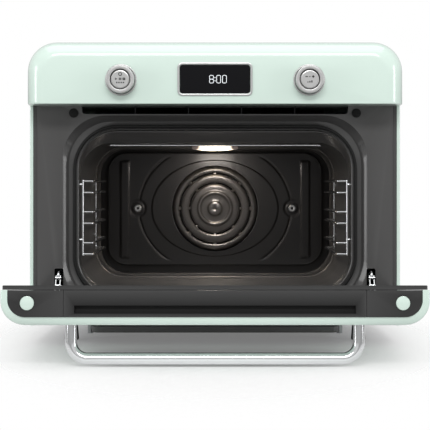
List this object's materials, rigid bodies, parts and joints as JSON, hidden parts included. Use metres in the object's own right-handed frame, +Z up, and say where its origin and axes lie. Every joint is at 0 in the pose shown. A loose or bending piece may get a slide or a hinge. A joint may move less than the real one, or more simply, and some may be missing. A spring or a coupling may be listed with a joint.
{
  "type": "toaster oven",
  "caption": "Countertop convection oven with a drop-down glass door, tube handle, two control dials, a clock display, fan-heated cavity with side racks, and a drip tray.",
  "frame": {"origin": "under the middle of the whole oven with its door open, level with the soles of the feet", "axes": "+X to the viewer's right as they face the door, +Y from the door to the back, +Z up"},
  "size_m": [0.498, 0.715, 0.404],
  "materials": {
    "green_paint": "gloss",
    "grey_enamel": "satin",
    "cavity_enamel": "semi-gloss",
    "dark_trim": "satin",
    "green_plug": "gloss",
    "chrome": "polished",
    "chrome_wire": "polished",
    "satin_steel": "satin",
    "zinc_steel": "satin",
    "fan_aluminium": "satin",
    "black_glass": "gloss",
    "tinted_glass": "gloss",
    "lamp_glass": "frosted",
    "black_rubber": "matte",
    "black_plastic": "matte",
    "circuit_board": "satin",
    "mineral_wool": "matte",
    "heater_sheath": "oxidised"
  },
  "bodies": {
    "cabinet": {"outer_casing": "green_paint", "base_plate": "zinc_steel", "rear_cover": "zinc_steel", "front_frame": "grey_enamel", "vent_grille": "grey_enamel", "control_panel": "green_paint", "display_bezel": "satin_steel", "display_glass": "black_glass", "control_board": "circuit_board", "left_dial_base": "satin_steel", "right_dial_base": "satin_steel", "left_encoder": "black_plastic", "right_encoder": "black_plastic", "left_door_bumper": "black_rubber", "right_door_bumper": "black_rubber", "left_side_rack": "chrome_wire", "right_side_rack": "chrome_wire", "left_baffle_screw": "satin_steel", "right_baffle_screw": "satin_steel", "left_hinge_arm": "zinc_steel", "right_hinge_arm": "zinc_steel", "left_tray_rail": "zinc_steel", "right_tray_rail": "zinc_steel", "front_left_foot": "black_rubber", "front_right_foot": "black_rubber", "rear_left_foot": "black_rubber", "rear_right_foot": "black_rubber", "door_gasket": "black_rubber", "cavity_liner": "cavity_enamel", "insulation_blanket": "mineral_wool", "fan_baffle": "cavity_enamel", "convection_motor": "zinc_steel", "ring_heater": "heater_sheath", "top_heater": "heater_sheath", "bottom_heater": "heater_sheath", "lamp_housing": "zinc_steel", "lamp_lens": "lamp_glass", "blower_duct": "zinc_steel", "blower_motor": "zinc_steel", "power_board": "circuit_board", "cord_gland": "black_plastic"},
    "door": {"door_shell": "green_paint", "door_lining": "dark_trim", "outer_glass": "tinted_glass", "inner_glass": "tinted_glass", "centre_trim": "dark_trim", "left_end_trim": "dark_trim", "right_end_trim": "dark_trim", "left_trim_plug": "green_plug", "right_trim_plug": "green_plug", "left_door_hinge": "zinc_steel", "right_door_hinge": "zinc_steel", "door_handle": "chrome"},
    "left_dial": {"left_dial": "satin_steel"},
    "right_dial": {"right_dial": "satin_steel"},
    "left_button": {"left_push_button": "satin_steel"},
    "right_button": {"right_push_button": "satin_steel"},
    "convection_fan": {"convection_fan": "fan_aluminium"},
    "blower_wheel": {"blower_wheel": "fan_aluminium"},
    "drip_tray": {"drip_tray": "grey_enamel"}
  },
  "joints": [
    {"name": "door_hinge", "type": "hinge", "parent": "cabinet", "child": "door", "pos_m": [0, -0.10673, 0.067], "axis": [-1, 0, 0], "range_deg": [0, 85.6]},
    {"name": "left_dial_turn", "type": "hinge", "parent": "cabinet", "child": "left_dial", "pos_m": [-0.1234, -0.13973, 0.352], "axis": [0, 1, 0], "continuous": true},
    {"name": "right_dial_turn", "type": "hinge", "parent": "cabinet", "child": "right_dial", "pos_m": [0.1234, -0.13973, 0.352], "axis": [0, 1, 0], "continuous": true},
    {"name": "left_button_press", "type": "slide", "parent": "cabinet", "child": "left_button", "axis": [0, 1, 0], "range_m": [0, 0.002], "stiffness_N_per_m": 500, "springref_m": -0.002},
    {"name": "right_button_press", "type": "slide", "parent": "cabinet", "child": "right_button", "axis": [0, 1, 0], "range_m": [0, 0.002], "stiffness_N_per_m": 500, "springref_m": -0.002},
    {"name": "convection_fan_spin", "type": "hinge", "parent": "cabinet", "child": "convection_fan", "pos_m": [0, 0.27227, 0.177], "axis": [0, 1, 0], "continuous": true},
    {"name": "blower_wheel_spin", "type": "hinge", "parent": "cabinet", "child": "blower_wheel", "pos_m": [0, 0.09827, 0.343], "axis": [1, 0, 0], "continuous": true},
    {"name": "drip_tray_slide", "type": "slide", "parent": "cabinet", "child": "drip_tray", "axis": [0, -1, 0], "range_m": [0, 0.15]}
  ]
}
